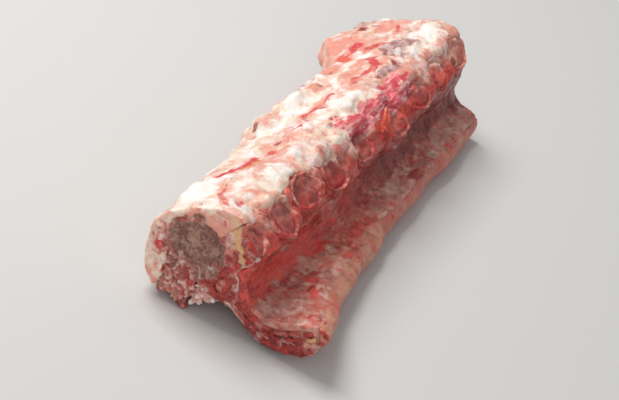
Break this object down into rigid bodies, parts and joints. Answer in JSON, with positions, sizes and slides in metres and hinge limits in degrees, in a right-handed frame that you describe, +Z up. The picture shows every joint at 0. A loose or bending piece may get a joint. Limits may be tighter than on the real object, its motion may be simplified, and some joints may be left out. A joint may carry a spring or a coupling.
{
  "type": "lamb soup bone",
  "caption": "Frozen length of lamb backbone cut for soup, with sawn-off ribs, lean meat along a bent blade of spines and frosted fat over the chest side.",
  "frame": {"origin": "centre of the bounding box's bottom, on the surface that the bone lies on", "axes": "+X along the backbone from the front saw cut to the back one, +Z up, -Y towards the side with the meat and the blade of spines"},
  "size_m": [0.212, 0.089, 0.0458],
  "materials": {
    "bone": "sawn frozen bone: pale rims round dark red porous marrow, greyish mauve on the saw cut",
    "cord": "soft pale cord, flush with both saw cuts",
    "lean_meat": "moist frozen lamb muscle, dark red with pale sinew streaks and patches of frost",
    "lean_meat_far": "the same lamb muscle on the side that lies on the table",
    "frosted_fat": "cream fat with pink patches under a granular coat of frost",
    "edge_fat": "tan strip of fat and gristle"
  },
  "bodies": {
    "root": {"backbone": "bone", "spinal_cord": "cord", "meat_near": "lean_meat", "meat_far": "lean_meat_far", "chest_fat": "frosted_fat", "edge_fat": "edge_fat"}
  },
  "joints": []
}
